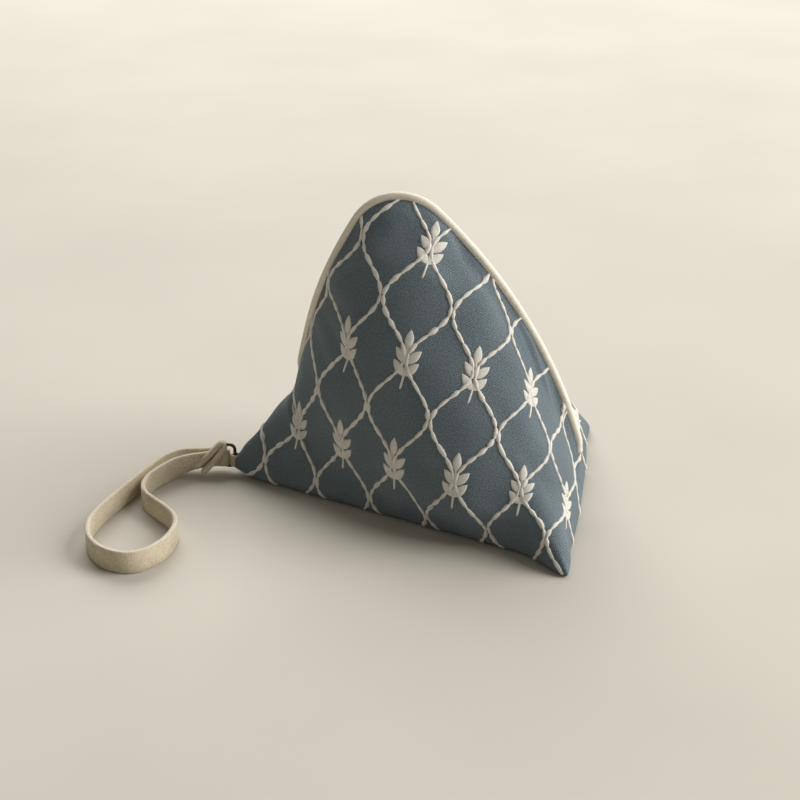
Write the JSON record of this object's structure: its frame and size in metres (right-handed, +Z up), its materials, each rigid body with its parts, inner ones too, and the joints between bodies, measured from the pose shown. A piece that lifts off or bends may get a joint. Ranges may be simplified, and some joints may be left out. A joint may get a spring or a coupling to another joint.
{
  "type": "tetrahedron pouch",
  "caption": "Small zipped cloth pouch in the shape of a tetrahedron, with a piped arched opening, a corner ring and a looped wrist strap.",
  "frame": {"origin": "on the table under the middle of the pouch, measured without the strap", "axes": "+X from the strap corner to the end seam, +Y to the back, +Z up"},
  "size_m": [0.1681, 0.1408, 0.1117],
  "materials": {
    "canvas": "slate blue cotton canvas with cream embroidery",
    "lining": "plain cream cotton",
    "piping": "cream twill cut on the bias",
    "cord": "white cotton cord",
    "tape": "woven beige zip tape",
    "zip_metal": "antique brass",
    "ring_metal": "dark bronze wire",
    "strap": "beige suede with pale cut edges"
  },
  "bodies": {
    "pouch": {"front_panel": "canvas", "front_lining": "lining", "back_panel": "canvas", "back_lining": "lining", "piping_cover": "piping", "piping_core": "cord", "zip_tape_front": "tape", "zip_tape_back": "tape", "zip_teeth_front": "zip_metal", "zip_teeth_back": "zip_metal", "zip_bottom_stop": "zip_metal", "zip_top_stop_front": "zip_metal", "zip_top_stop_back": "zip_metal", "corner_tab": "strap"},
    "slider": {"zip_slider": "zip_metal"},
    "pull": {"zip_pull": "zip_metal"},
    "strap": {"strap_ring": "ring_metal", "strap_hitch": "strap", "strap_loop": "strap"}
  },
  "joints": [
    {"name": "zip_run", "type": "hinge", "parent": "pouch", "child": "slider", "pos_m": [-0.1123, 0, -0.0295], "axis": [0, -1, 0], "range_deg": [0, 23], "deforming": ["zip_teeth_front", "zip_teeth_back"]},
    {"name": "pull_flip", "type": "hinge", "parent": "slider", "child": "pull", "pos_m": [0.05667, 0.00254, 0.0394], "axis": [0.463, -0.866, 0.1888], "range_deg": [0, 165]},
    {"name": "ring_swing", "type": "hinge", "parent": "pouch", "child": "strap", "pos_m": [-0.06295, 0, 0.0057], "axis": [0, 0, 1], "range_deg": [-60, 45]}
  ]
}
